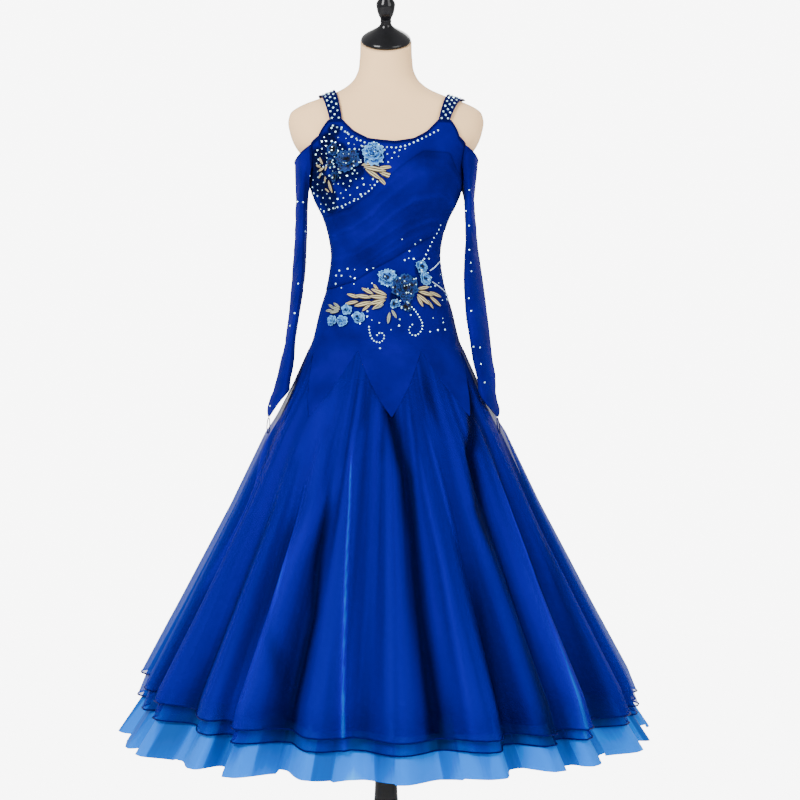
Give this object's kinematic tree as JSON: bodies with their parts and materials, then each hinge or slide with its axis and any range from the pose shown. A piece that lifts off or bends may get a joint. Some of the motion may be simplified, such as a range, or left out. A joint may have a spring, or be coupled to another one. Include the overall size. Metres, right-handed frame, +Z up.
{
  "type": "ballroom dance dress on a dress form",
  "caption": "Long royal blue ballroom dance dress with draped sash, empty sleeves and layered flared skirt, on a limbless cream dress form with a black stand.",
  "frame": {"origin": "centre of the base's underside, on the floor", "axes": "+Z up, the dress's front towards -Y, the wearer's left at +X"},
  "size_m": [1.1122, 1.0464, 1.7826],
  "materials": {
    "bodice_jersey": "matt stretch jersey, royal blue",
    "skirt_organza": "satin organza, royal blue, see-through at the hems",
    "skirt_lining": "opaque lining, royal blue",
    "flounce_pale": "stiffened pale blue organza",
    "petal_light": "light blue applique",
    "petal_dark": "dark blue applique",
    "leaf_gold": "dull gold applique",
    "form_linen": "cream linen weave",
    "stand_black": "black gloss lacquer"
  },
  "bodies": {
    "root": {"bodice_front": "bodice_jersey", "bodice_back": "bodice_jersey", "sash": "bodice_jersey", "strap_left": "bodice_jersey", "strap_right": "bodice_jersey", "sleeve_left": "bodice_jersey", "sleeve_right": "bodice_jersey", "finger_loop_left": "bodice_jersey", "finger_loop_right": "bodice_jersey", "skirt_top_front": "skirt_organza", "skirt_top_back": "skirt_organza", "skirt_under_front": "skirt_organza", "skirt_under_back": "skirt_organza", "skirt_lining_front": "skirt_lining", "skirt_lining_back": "skirt_lining", "flounce_front": "flounce_pale", "flounce_back": "flounce_pale", "flower_bust_light": "petal_light", "flower_bust_side": "petal_light", "flower_hip_left": "petal_light", "flower_hip_right": "petal_light", "flower_hip_roses": "petal_light", "flower_bust_dark": "petal_dark", "flower_hip_dark": "petal_dark", "spray_bust": "leaf_gold", "spray_bust_side": "leaf_gold", "spray_hip_left": "leaf_gold", "spray_hip_right": "leaf_gold", "form_torso": "form_linen", "neck_cap": "stand_black", "pole": "stand_black", "base": "stand_black"}
  },
  "joints": []
}
